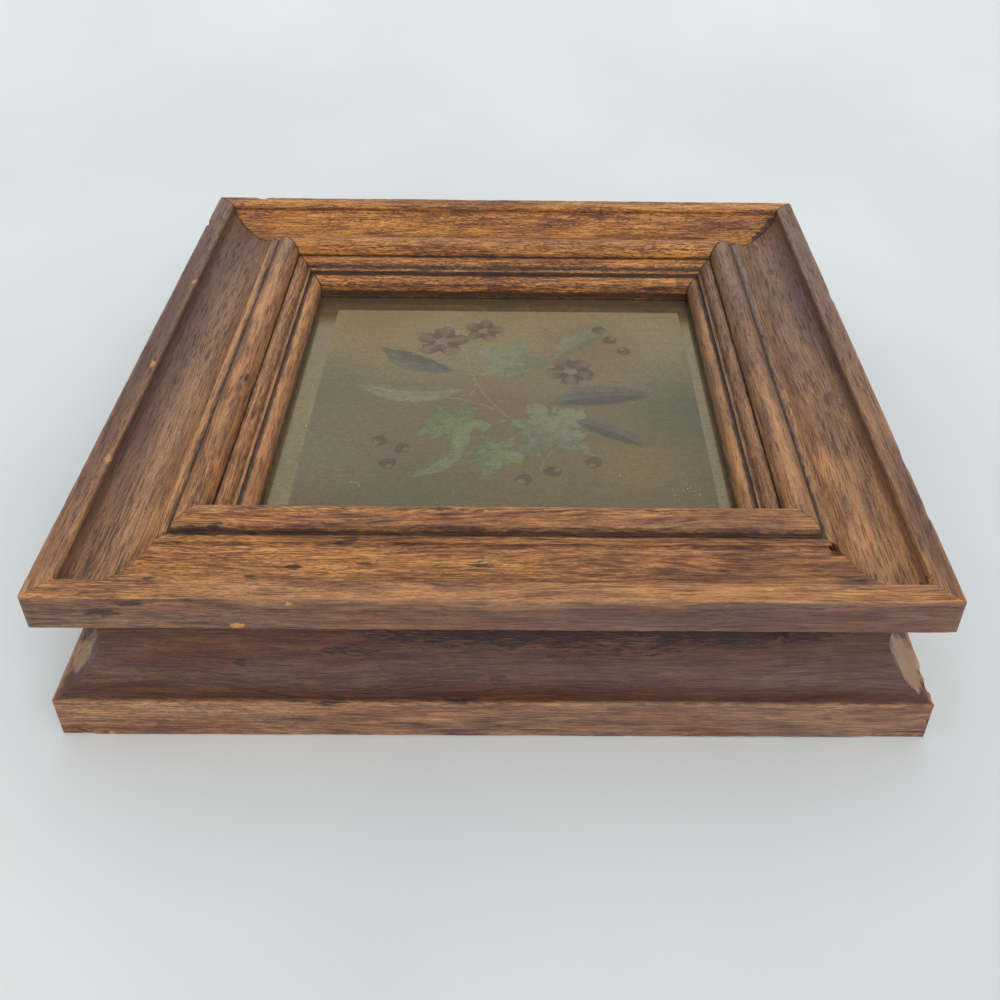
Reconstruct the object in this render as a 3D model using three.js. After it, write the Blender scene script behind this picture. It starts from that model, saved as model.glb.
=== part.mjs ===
// A small, deep picture frame: four mitred hardwood rails round a printed brass plate and a
// backing board. The frame lies on its back, +Z out of the picture and +Y towards its head.
// Millimetres. The origin is the middle of the back.
import * as THREE from 'three';

// Overall sizes
const frameWidth = 254;
const frameHeight = 241;
const frameDepth = 56.6;

// Outer side of the moulding, from the front down: rim band, hollow, base band
const rimBandHeight = 11.8;
const baseBandHeight = 14.6;
const baseProud = 0.6;
const sideHollowDepth = 12.3;
const arrisRadius = 0.7;

// Front of the moulding, from the outer edge inwards
const rimWidth = 7.2;
const rimStepDepth = 1.3;
const rimStepSlope = 0.4;
const hollowWidth = 12.9;
const hollowDepth = 8.7;
const hollowRiseWidth = 7.3;
const hollowRiseHeight = 3.6;
const hollowRiseBulge = 0.5;
const filletRise = 1.0;
const filletWidth = 3.6;
const ridgeOuterWidth = 5.7;
const ridgeInnerWidth = 3.8;
const ridgeHeight = 5.8;
const quirkWidth = 0.4;
const quirkDepth = 0.9;
const shoulderWidth = 4.3;
const shoulderDrop = 3.9;
const shoulderBulge = 0.9;
const shoulderFilletWidth = 0.8;
const grooveWidth = 0.6;
const grooveDepth = 1.7;
const beadWidth = 3.8;
const beadHeight = 5.2;
const lipThickness = 3.5;

// Rebate behind the lip, and what sits in it
const rebateWidth = 6;
const edgeClearance = 0.8;
const layerGap = 0.3;
const mitreGap = 0.3;
const plateThickness = 1;
const boardThickness = 3;

// Facets of the curved stretches
const hollowFacets = 10;
const ridgeFacets = 12;
const beadFacets = 7;
const arrisFacets = 2;

const wood = { color: 0x7d5133, roughness: 0.5, metalness: 0 };
const finishes = {
  rail: wood,
  plate: { color: 0x736a50, roughness: 0.35, metalness: 0.6 },
  board: { color: 0x6b4a30, roughness: 0.9, metalness: 0 },
};

// Points of an elliptical arc, angles in quarter turns, both ends kept
function arc(centreX, centreY, radiusX, radiusY, fromQuarter, toQuarter, facets) {
  const points = [];
  for (let step = 0; step <= facets; step += 1) {
    const angle = (Math.PI / 2) * (fromQuarter + ((toQuarter - fromQuarter) * step) / facets);
    const x = centreX + radiusX * Math.cos(angle);
    const y = centreY + radiusY * Math.sin(angle);
    points.push(new THREE.Vector2(x, y));
  }
  return points;
}

// Points of a shallow curve between two ends, lifted by bulge at its middle, both ends left out
function bulged(from, to, bulge, facets) {
  const along = new THREE.Vector2().subVectors(to, from);
  const across = new THREE.Vector2(-along.y, along.x).normalize();
  const points = [];
  for (let step = 1; step < facets; step += 1) {
    const share = step / facets;
    const lift = bulge * 4 * share * (1 - share);
    points.push(from.clone().addScaledVector(along, share).addScaledVector(across, lift));
  }
  return points;
}

// The front of the moulding: inset from the outer edge and height above the back, outer end first
function frontOutline() {
  const hollowTop = frameDepth - rimStepDepth;
  const hollowStart = rimWidth + rimStepSlope;
  const hollowLow = new THREE.Vector2(hollowStart + hollowWidth, hollowTop - hollowDepth);
  const hollowEnd = hollowLow.clone();
  hollowEnd.x += hollowRiseWidth;
  hollowEnd.y += hollowRiseHeight;
  const filletTop = hollowEnd.y + filletRise;
  const crestInset = hollowEnd.x + filletWidth + ridgeOuterWidth;
  const ridgeEnd = new THREE.Vector2(crestInset + ridgeInnerWidth, hollowEnd.y);
  const shoulderStart = new THREE.Vector2(ridgeEnd.x + quirkWidth, ridgeEnd.y);
  const shoulderEnd = new THREE.Vector2(shoulderStart.x + shoulderWidth, shoulderStart.y - shoulderDrop);
  const grooveOuter = new THREE.Vector2(shoulderEnd.x + shoulderFilletWidth, shoulderEnd.y);
  const grooveFloor = grooveOuter.y - grooveDepth;
  const beadStart = grooveOuter.x + grooveWidth;
  const beadFoot = grooveFloor - beadHeight;
  return [
    new THREE.Vector2(rimWidth, frameDepth),
    ...arc(hollowLow.x, hollowTop, hollowWidth, hollowDepth, 2, 3, hollowFacets),
    ...bulged(hollowLow, hollowEnd, -hollowRiseBulge, hollowFacets / 2),
    hollowEnd,
    new THREE.Vector2(hollowEnd.x, filletTop),
    new THREE.Vector2(hollowEnd.x + filletWidth, filletTop),
    ...arc(crestInset, hollowEnd.y, ridgeOuterWidth, ridgeHeight, 2, 1, ridgeFacets / 2).slice(1, -1),
    ...arc(crestInset, hollowEnd.y, ridgeInnerWidth, ridgeHeight, 1, 0, ridgeFacets / 2),
    new THREE.Vector2(ridgeEnd.x + quirkWidth / 2, ridgeEnd.y - quirkDepth),
    shoulderStart,
    ...bulged(shoulderStart, shoulderEnd, shoulderBulge, beadFacets),
    shoulderEnd,
    grooveOuter,
    new THREE.Vector2(grooveOuter.x, grooveFloor),
    ...arc(beadStart, beadFoot, beadWidth, beadHeight, 1, 0, beadFacets),
    new THREE.Vector2(beadStart + beadWidth, beadFoot - lipThickness),
  ];
}

const front = frontOutline();
const sightInset = front[front.length - 1].x;
const lipUnderside = front[front.length - 1].y;
const rebateInset = sightInset - rebateWidth;

// A small rounded corner of the outer side, quarter turns as in arc
function arris(insetCentre, heightCentre, fromQuarter, toQuarter) {
  return arc(insetCentre, heightCentre, arrisRadius, arrisRadius, fromQuarter, toQuarter, arrisFacets);
}

// The whole section of a rail, clockwise from the foot of its outer side
function railOutline() {
  const hollowHigh = frameDepth - rimBandHeight;
  const hollowMiddle = (hollowHigh + baseBandHeight) / 2;
  const hollowHalf = (hollowHigh - baseBandHeight) / 2;
  return [
    ...arris(arrisRadius - baseProud, arrisRadius, 3, 2),
    ...arris(arrisRadius - baseProud, baseBandHeight - arrisRadius, 2, 1),
    ...arc(arrisRadius, hollowMiddle, sideHollowDepth - arrisRadius, hollowHalf, -1, 1, hollowFacets * 2).slice(1, -1),
    ...arris(arrisRadius, hollowHigh + arrisRadius, 3, 2),
    ...arris(arrisRadius, frameDepth - arrisRadius, 2, 1),
    ...front,
    new THREE.Vector2(rebateInset, lipUnderside),
    new THREE.Vector2(rebateInset, 0),
  ];
}

// A rail that runs along +X with its outer side towards -Y. Each end is moved onto the mitre, where
// a point's distance from the rail's outer end is its inset.
function mitredRail(outerLength) {
  const geometry = new THREE.ExtrudeGeometry(new THREE.Shape(railOutline()), {
    depth: 1,
    bevelEnabled: false,
  });
  const position = geometry.attributes.position;
  const gapAlong = mitreGap / Math.SQRT2;
  for (let index = 0; index < position.count; index += 1) {
    const inset = position.getX(index);
    const height = position.getY(index);
    const end = position.getZ(index) > 0.5 ? 1 : -1;
    const along = outerLength / 2 - inset - gapAlong;
    position.setXYZ(index, end * along, inset, height);
  }
  geometry.computeVertexNormals();
  return geometry;
}

function namedMesh(name, geometry, finish) {
  const mesh = new THREE.Mesh(geometry, new THREE.MeshStandardMaterial(finish));
  mesh.name = name;
  return mesh;
}

// Each rail is made along +X and turned about the frame's middle to its own side
function makeRails() {
  const sides = [
    { name: 'bottom_rail', outerLength: frameWidth, reach: frameHeight / 2, quarterTurns: 0 },
    { name: 'right_rail', outerLength: frameHeight, reach: frameWidth / 2, quarterTurns: 1 },
    { name: 'top_rail', outerLength: frameWidth, reach: frameHeight / 2, quarterTurns: 2 },
    { name: 'left_rail', outerLength: frameHeight, reach: frameWidth / 2, quarterTurns: 3 },
  ];
  return sides.map((side) => {
    const rail = namedMesh(side.name, mitredRail(side.outerLength), finishes.rail);
    rail.position.y = -side.reach;
    const turned = new THREE.Group();
    turned.rotation.z = (Math.PI / 2) * side.quarterTurns;
    turned.add(rail);
    return turned;
  });
}

// The layers in the rebate, from the lip backwards
function makeLayers() {
  const width = frameWidth - 2 * (rebateInset + edgeClearance);
  const height = frameHeight - 2 * (rebateInset + edgeClearance);
  const layers = [
    { name: 'brass_plate', thickness: plateThickness, finish: finishes.plate },
    { name: 'backing_board', thickness: boardThickness, finish: finishes.board },
  ];
  let top = lipUnderside - layerGap;
  return layers.map((layer) => {
    const sheet = namedMesh(layer.name, new THREE.BoxGeometry(width, height, layer.thickness), layer.finish);
    sheet.position.z = top - layer.thickness / 2;
    top -= layer.thickness + layerGap;
    return sheet;
  });
}

const frame = new THREE.Group();
frame.add(...makeRails(), ...makeLayers());

export default frame;
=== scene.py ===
"""Looks of a small, deep wooden picture frame that holds a printed brass plate.

The frame lies on its back: +Z out of the picture, +Y towards its head, +X to its right, in metres.
"""
import logging
import math
import random
from dataclasses import dataclass, field
from enum import Enum
from typing import Any, Iterable

import bmesh
import bpy
from mathutils import Matrix, Vector, noise


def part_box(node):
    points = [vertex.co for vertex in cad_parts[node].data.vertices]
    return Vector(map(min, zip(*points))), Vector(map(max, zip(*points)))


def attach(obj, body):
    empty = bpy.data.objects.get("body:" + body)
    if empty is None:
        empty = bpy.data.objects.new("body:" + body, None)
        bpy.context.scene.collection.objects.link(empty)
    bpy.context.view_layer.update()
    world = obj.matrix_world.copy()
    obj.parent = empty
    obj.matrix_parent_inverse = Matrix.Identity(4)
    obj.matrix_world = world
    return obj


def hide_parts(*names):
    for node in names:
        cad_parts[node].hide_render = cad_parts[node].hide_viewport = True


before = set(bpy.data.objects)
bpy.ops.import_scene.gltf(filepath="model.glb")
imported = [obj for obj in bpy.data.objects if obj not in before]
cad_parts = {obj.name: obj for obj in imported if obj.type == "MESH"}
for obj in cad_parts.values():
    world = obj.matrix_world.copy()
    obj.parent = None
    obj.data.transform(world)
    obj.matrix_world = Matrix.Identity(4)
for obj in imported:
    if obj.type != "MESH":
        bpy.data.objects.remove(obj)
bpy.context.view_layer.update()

LOG = logging.getLogger("picture_frame")
MM = 0.001
Colour = tuple[float, float, float]
Section = list[Vector]


def shade(red: float, green: float, blue: float) -> Colour:
    """Turns a colour as seen on a screen, 0 to 255, into the linear colour that a shader takes.

    Args:
        red: Red share.
        green: Green share.
        blue: Blue share.

    Returns:
        The linear colour.
    """
    shares = (channel / 255 for channel in (red, green, blue))
    return tuple(s / 12.92 if s <= 0.04045 else ((s + 0.055) / 1.055) ** 2.4 for s in shares)


class Wire:
    """An output of a shader node, with the arithmetic that this file's materials use."""

    def __init__(self, graph: "Graph", socket: bpy.types.NodeSocket) -> None:
        """Wraps one output socket of a graph."""
        self.graph = graph
        self.socket = socket

    def _join(self, operation: str, first: Any, second: Any) -> "Wire":
        """Adds a Math node, or a Vector Math node where this wire is a vector."""
        kind = "ShaderNodeVectorMath" if self.socket.type == "VECTOR" else "ShaderNodeMath"
        return self.graph.node(kind, {"operation": operation}, {0: first, 1: second})

    def __add__(self, other: Any) -> "Wire":
        """This plus other."""
        return self._join("ADD", self, other)

    def __radd__(self, other: Any) -> "Wire":
        """Other plus this."""
        return self._join("ADD", other, self)

    def __sub__(self, other: Any) -> "Wire":
        """This less other."""
        return self._join("SUBTRACT", self, other)

    def __rsub__(self, other: Any) -> "Wire":
        """Other less this."""
        return self._join("SUBTRACT", other, self)

    def __mul__(self, other: Any) -> "Wire":
        """This times other."""
        return self._join("MULTIPLY", self, other)

    def __rmul__(self, other: Any) -> "Wire":
        """Other times this."""
        return self._join("MULTIPLY", other, self)

    def __pow__(self, other: Any) -> "Wire":
        """This to the power of other."""
        return self._join("POWER", self, other)

    def least(self, other: Any) -> "Wire":
        """The lesser of this and other."""
        return self._join("MINIMUM", self, other)

    def most(self, other: Any) -> "Wire":
        """The greater of this and other."""
        return self._join("MAXIMUM", self, other)

    def done(self, operation: str) -> "Wire":
        """Puts the wire through a Math node that takes one value, such as COSINE or ABSOLUTE."""
        return self.graph.node("ShaderNodeMath", {"operation": operation}, {0: self})

    def step(self, low: float, high: float, top: float = 1.0) -> "Wire":
        """A smooth step from 0 at low to top at high, where low may be the greater.

        Args:
            low: Value that gives 0.
            high: Value that gives top.
            top: Highest result.

        Returns:
            The stepped value.
        """
        ends = {"From Min": low, "From Max": high, "To Min": 0.0, "To Max": top}
        if low > high:
            ends = {"From Min": high, "From Max": low, "To Min": top, "To Max": 0.0}
        settings = {"interpolation_type": "SMOOTHSTEP"}
        return self.graph.node("ShaderNodeMapRange", settings, {"Value": self, **ends})


class Graph:
    """The node tree of one material, with a Principled shader at its end."""

    mark_edge = 0.12

    def __init__(self, name: str) -> None:
        """Makes a material with nothing but its shader.

        Args:
            name: The material's name.
        """
        self.material = bpy.data.materials.new(name)
        self.material.use_nodes = True
        self.tree = self.material.node_tree
        self.tree.nodes.clear()
        self.shader = self.tree.nodes.new("ShaderNodeBsdfPrincipled")
        output = self.tree.nodes.new("ShaderNodeOutputMaterial")
        self.tree.links.new(self.shader.outputs["BSDF"], output.inputs["Surface"])

    def plug(self, socket: bpy.types.NodeSocket, value: Any) -> None:
        """Links a wire to an input, or sets the input's own value.

        Args:
            socket: Input of a node.
            value: A Wire, a number, a colour or a vector.
        """
        if isinstance(value, Wire):
            self.tree.links.new(value.socket, socket)
        elif socket.type == "RGBA":
            socket.default_value = (*value[:3], 1.0)
        elif socket.type == "VECTOR" and isinstance(value, (int, float)):
            socket.default_value = (value, value, value)
        else:
            socket.default_value = value

    def node(self, kind: str, settings: dict[str, Any], sockets: dict[Any, Any], output: Any = 0) -> Wire:
        """Adds any node.

        Args:
            kind: The node's type.
            settings: Its properties; "stops" gives a colour ramp's places and colours.
            sockets: Values or wires by input name or number.
            output: Name or number of the output that is wanted.

        Returns:
            That output.
        """
        made = self.tree.nodes.new(kind)
        for name, value in settings.items():
            if name == "stops":
                self._set_stops(made.color_ramp, value)
            else:
                setattr(made, name, value)
        for name, value in sockets.items():
            self.plug(made.inputs[name], value)
        return Wire(self, made.outputs[output])

    def _set_stops(self, ramp: bpy.types.ColorRamp, stops: list[tuple[float, Colour]]) -> None:
        """Gives a colour ramp its stops.

        Args:
            ramp: The ramp.
            stops: Each stop's place and colour.
        """
        while len(ramp.elements) < len(stops):
            ramp.elements.new(1.0)
        for element, (place, colour) in zip(ramp.elements, stops):
            element.position = place
            element.color = (*colour, 1.0)

    def attribute(self, name: str, vector: bool = False) -> Wire:
        """Reads a piece's own attribute, as a number or as a vector."""
        settings = {"attribute_type": "GEOMETRY", "attribute_name": name}
        return self.node("ShaderNodeAttribute", settings, {}, "Vector" if vector else "Fac")

    def place(self) -> Wire:
        """The point's place in the frame, in millimetres."""
        metres = self.node("ShaderNodeTexCoord", {}, {}, "Object")
        return self.mapped(metres, scale=(1 / MM, 1 / MM, 1 / MM))

    def mapped(
        self,
        vector: Wire,
        centre: tuple[float, float, float] = (0, 0, 0),
        turn: float = 0.0,
        scale: tuple[float, float, float] = (1, 1, 1),
    ) -> Wire:
        """Moves a vector by -centre, turns it by -turn about Z, then scales it.

        Args:
            vector: The vector.
            centre: Point that becomes the origin.
            turn: Angle in degrees.
            scale: Factor along each axis.

        Returns:
            The mapped vector.
        """
        inverse = tuple(1 / s for s in scale)
        rotation = (0, 0, math.radians(turn))
        sockets = {"Vector": vector, "Location": centre, "Rotation": rotation, "Scale": inverse}
        return self.node("ShaderNodeMapping", {"vector_type": "TEXTURE"}, sockets)

    def noise(
        self, vector: Wire, scale: tuple[float, float, float], detail: float = 2.0, rough: float = 0.5
    ) -> Wire:
        """Noise from 0 to 1, stretched by a scale for each axis.

        Args:
            vector: Where to read it, in millimetres.
            scale: Waves to the millimetre along each axis.
            detail: Octaves.
            rough: Strength of each octave beside the last.

        Returns:
            The noise.
        """
        scaled = self.mapped(vector, scale=scale)
        sockets = {"Vector": scaled, "Scale": 1.0, "Detail": detail, "Roughness": rough}
        return self.node("ShaderNodeTexNoise", {"noise_dimensions": "3D"}, sockets, "Fac")

    def mix(self, share: Any, first: Any, second: Any, blend: str = "MIX") -> Wire:
        """A Mix node on colours.

        Args:
            share: How much of the second colour.
            first: A colour.
            second: A colour.
            blend: The node's blend type.

        Returns:
            The mixed colour.
        """
        sockets = {0: share, 6: first, 7: second}
        return self.node("ShaderNodeMix", {"data_type": "RGBA", "blend_type": blend}, sockets, 2)

    def axes(self, vector: Wire) -> tuple[Wire, Wire]:
        """The first two parts of a vector."""
        return tuple(self.node("ShaderNodeSeparateXYZ", {}, {0: vector}, axis) for axis in "XY")

    def length(self, vector: Wire) -> Wire:
        """A vector's length."""
        return self.node("ShaderNodeVectorMath", {"operation": "LENGTH"}, {0: vector}, "Value")

    def patch(self, name: str, uneven: Wire, ends: tuple[float, float], top: float) -> Wire:
        """Where a mark's colour shows: its attribute made uneven, and nothing outside the mark.

        Args:
            name: The attribute.
            uneven: Noise about 0 that is added to it.
            ends: The sums that give 0 and top.
            top: Strongest share of the colour.

        Returns:
            The share of the mark's colour.
        """
        mark = self.attribute(name)
        return (mark + uneven).step(*ends, top) * mark.step(0.0, self.mark_edge)

    def bump(self, height: Wire, strength: float, depth: float) -> Wire:
        """A bumped normal.

        Args:
            height: Height from 0 to 1.
            strength: Strength of the Bump node.
            depth: What a height of 1 stands for, in metres.

        Returns:
            The normal.
        """
        sockets = {"Height": height, "Strength": strength, "Distance": depth}
        return self.node("ShaderNodeBump", {}, sockets)

    def finish(self, **sockets: Any) -> bpy.types.Material:
        """Sets the shader's inputs.

        Args:
            sockets: Values or wires by input name, with _ for spaces.

        Returns:
            The finished material.
        """
        for name, value in sockets.items():
            self.plug(self.shader.inputs[name.replace("_", " ")], value)
        return self.material


class MarkKind(Enum):
    """What has happened to the wood at a mark, or the painted shade or painted reflection laid on it."""

    STAIN = "stain"
    CHIP = "chip"
    DENT = "dent"
    # Painted reflection: a pale patch where the lower side hollow faces the sky.
    PAINTED_REFLECTION = "painted_pale_reflection"
    WORN = "worn"
    # Painted shade: smooth darkening where the wood faces away from the light.
    PAINTED_SHADE = "painted_shade"


@dataclass(frozen=True)
class Mark:
    """One mark on a rail: millimetres along it, in from its outer edge and above its back.

    Args:
        kind: Stain, chip, dent, painted pale reflection, worn to golden wood, or evenly darkened as painted
            shade.
        along: Place along the rail.
        inset: Place inwards.
        height: Place above the back.
        length: Half its length along the grain.
        width: Half its width.
        depth: How deep it is cut into the wood.
        power: How strongly it colours the wood.
    """

    kind: MarkKind
    along: float
    inset: float
    height: float
    length: float
    width: float
    depth: float = 0.0
    power: float = 1.0

    def strength(self, along: float, inset: float, height: float) -> float:
        """How strongly the mark acts at a point.

        Args:
            along: Place along the rail.
            inset: Place inwards.
            height: Place above the back.

        Returns:
            From 0 outside the mark to 1 at its middle.
        """
        lengthways = (along - self.along) / self.length
        if abs(lengthways) > 1:
            return 0.0
        across = math.hypot(inset - self.inset, height - self.height) / self.width
        return max(0.0, 1 - lengthways * lengthways - across * across)


def run(start: Vector, end: Vector, pitch: float) -> Section:
    """Points along a straight stretch, its start kept and its end left out.

    Args:
        start: First point.
        end: Point that the stretch stops short of.
        pitch: Widest spacing.

    Returns:
        The points.
    """
    count = max(1, math.ceil((end - start).length / pitch))
    return [start.lerp(end, step / count) for step in range(count)]


def bow(centre: Vector, radii: tuple[float, float], quarters: tuple[float, float], pitch: float) -> Section:
    """Points along an elliptical arc, both ends kept.

    Args:
        centre: The arc's centre.
        radii: Its radius across and its radius up.
        quarters: First and last angle, in quarter turns.
        pitch: Widest spacing.

    Returns:
        The points.
    """
    first, last = (math.pi / 2 * quarter for quarter in quarters)
    count = max(2, math.ceil(abs(last - first) * sum(radii) / 2 / pitch))
    angles = (first + (last - first) * step / count for step in range(count + 1))
    return [centre + Vector((radii[0] * math.cos(a), radii[1] * math.sin(a))) for a in angles]


def bulge(start: Vector, end: Vector, rise: float, pitch: float) -> Section:
    """Points of a shallow curve, its start kept and its end left out.

    Args:
        start: First point.
        end: Point that the curve stops short of.
        rise: How far its middle stands off the straight line.
        pitch: Widest spacing.

    Returns:
        The points.
    """
    across = Vector((start.y - end.y, end.x - start.x)).normalized()
    straight = run(start, end, pitch)
    shares = (step / len(straight) for step in range(len(straight)))
    return [point + across * rise * 4 * share * (1 - share) for point, share in zip(straight, shares)]


@dataclass
class Moulding:
    """The section of the frame's rails, in millimetres: inset from the outer edge and height."""

    depth: float
    rim_band: float = 11.8
    base_band: float = 14.6
    base_proud: float = 0.6
    side_hollow: float = 12.3
    arris: float = 0.7
    rim: float = 7.2
    rim_step: float = 1.3
    rim_slope: float = 0.4
    hollow_width: float = 12.9
    hollow_depth: float = 8.7
    rise_width: float = 7.3
    rise_height: float = 3.6
    rise_bulge: float = 0.5
    fillet_rise: float = 1.0
    fillet_width: float = 3.6
    ridge_outer: float = 5.7
    ridge_inner: float = 3.8
    ridge_height: float = 5.8
    quirk_width: float = 0.4
    quirk_depth: float = 0.9
    shoulder_width: float = 4.3
    shoulder_drop: float = 3.9
    shoulder_bulge: float = 0.9
    shoulder_fillet: float = 0.8
    groove_width: float = 0.6
    groove_depth: float = 1.7
    bead_width: float = 3.8
    bead_height: float = 5.2
    lip: float = 3.5
    rebate: float = 6.0
    front_drop: float = 20.5
    pitch: float = 0.9
    curve_pitch_share: float = 0.8
    dirt_and_shade_spots: list[tuple[Vector, float, float]] = field(default_factory=list)
    crests: list[tuple[Vector, float, float]] = field(default_factory=list)

    def front(self) -> Section:
        """The front of the moulding, noting where dirt gathers and shade is painted in its grooves, and where
        edges wear.

        Returns:
            Its points, outer end first.
        """
        pitch = self.pitch
        fine = pitch * self.curve_pitch_share
        hollow_top = self.depth - self.rim_step
        low = Vector((self.rim + self.rim_slope + self.hollow_width, hollow_top - self.hollow_depth))
        rise = low + Vector((self.rise_width, self.rise_height))
        fillet = rise + Vector((0, self.fillet_rise))
        foot = fillet + Vector((self.fillet_width, 0))
        ridge = Vector((foot.x + self.ridge_outer, rise.y))
        ridge_end = ridge + Vector((self.ridge_inner, 0))
        quirk = ridge_end + Vector((self.quirk_width / 2, -self.quirk_depth))
        shoulder = ridge_end + Vector((self.quirk_width, 0))
        shoulder_end = shoulder + Vector((self.shoulder_width, -self.shoulder_drop))
        groove = shoulder_end + Vector((self.shoulder_fillet, 0))
        floor = groove - Vector((0, self.groove_depth))
        bead = floor + Vector((self.groove_width, -self.bead_height))
        lip_edge = bead + Vector((self.bead_width, 0))
        underside = lip_edge - Vector((0, self.lip))
        rim_edge = Vector((self.rim, self.depth))
        # Spots where the grooves darken: dirt, and painted shade under the rim, on the fillet's riser and on
        # the ridge's lower face.
        self.dirt_and_shade_spots += [
            (Vector((self.rim + 0.4, hollow_top - 0.6)), 1.2, 0.55),
            (Vector((0, self.depth)), 1.5, 0.42),
            (fillet - Vector((0.3, self.fillet_rise)), 1.3, 0.62),
            (foot, 1.5, 1.0),
            (foot + Vector((0.5, 1.3)), 1.8, 0.7),
            (quirk, 1.5, 0.95),
            (shoulder_end + Vector((-0.7, 0.8)), 1.5, 0.72),
            (floor, 1.5, 1.1),
            (lip_edge - Vector((0, self.lip / 2)), 2.0, 0.9),
        ]
        self.crests += [
            (rim_edge, 0.8, 0.25),
            (Vector((self.arris, self.depth)), 0.9, 0.8),
            (fillet, 0.7, 0.4),
            (ridge + Vector((0, self.ridge_height)), 3.0, 0.6),
            (shoulder + Vector((1.4, 0)), 1.1, 0.8),
            (groove, 0.4, 1.0),
            (bead + Vector((self.bead_width * 0.6, self.bead_height * 0.8)), 1.6, 0.6),
        ]
        hollow_radii = (self.hollow_width, self.hollow_depth)
        outer_ridge = (self.ridge_outer, self.ridge_height)
        inner_ridge = (self.ridge_inner, self.ridge_height)
        bead_radii = (self.bead_width, self.bead_height)
        return [
            rim_edge,
            *bow(Vector((low.x, hollow_top)), hollow_radii, (2, 3), pitch)[:-1],
            *bulge(low, rise, -self.rise_bulge, pitch),
            rise,
            *run(fillet, foot, pitch),
            *bow(ridge, outer_ridge, (2, 1), fine)[1:-1],
            *bow(ridge, inner_ridge, (1, 0), fine),
            quirk,
            *bulge(shoulder, shoulder_end, self.shoulder_bulge, fine),
            *run(shoulder_end, groove, pitch),
            groove,
            floor,
            *bow(bead, bead_radii, (1, 0), fine)[:-1],
            *run(lip_edge, underside, pitch),
            underside,
        ]

    def outline(self) -> Section:
        """The whole section.

        Returns:
            Its points, clockwise from the foot of the outer side.
        """
        self.dirt_and_shade_spots.clear()
        self.crests.clear()
        front = self.front()
        arris = (self.arris, self.arris)
        outer = self.arris - self.base_proud
        high = self.depth - self.rim_band
        middle = Vector((self.arris, (high + self.base_band) / 2))
        hollow = (self.side_hollow - self.arris, (high - self.base_band) / 2)
        rebate = front[-1].x - self.rebate
        # More spots of dirt and painted shade: in the side hollow under the rim band and at the band's foot.
        self.dirt_and_shade_spots += [
            (Vector((self.side_hollow * 0.8, high - 2.0)), 4.0, 0.5),
            (Vector((1.5, high)), 1.2, 0.6),
        ]
        self.crests += [
            (Vector((0, high)), 0.9, 0.6),
            (Vector((0, self.base_band)), 1.0, 0.8),
            (Vector((-self.base_proud, 0)), 1.2, 0.5),
        ]
        base_foot = bow(Vector((outer, self.arris)), arris, (3, 2), self.pitch)
        base_head = bow(Vector((outer, self.base_band - self.arris)), arris, (2, 1), self.pitch)
        band_foot = bow(Vector((self.arris, high + self.arris)), arris, (3, 2), self.pitch)
        band_head = bow(Vector((self.arris, self.depth - self.arris)), arris, (2, 1), self.pitch)
        return [
            *base_foot[:-1],
            *run(base_foot[-1], base_head[0], self.pitch),
            *base_head,
            *bow(middle, hollow, (-1, 1), self.pitch)[1:-1],
            *band_foot[:-1],
            *run(band_foot[-1], band_head[0], self.pitch),
            *band_head[:-1],
            *run(band_head[-1], front[0], self.pitch),
            *front,
            Vector((rebate, front[-1].y)),
            Vector((rebate, 0)),
        ]

    def nearness(self, point: Vector, spots: Iterable[tuple[Vector, float, float]]) -> float:
        """How strongly the nearest of some spots acts at a point of the section.

        Args:
            point: Inset and height.
            spots: Each spot's place, reach and strength.

        Returns:
            The strongest, from 0 to 1.
        """
        return max(power * math.exp(-(((point - spot).length / reach) ** 2)) for spot, reach, power in spots)


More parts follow.
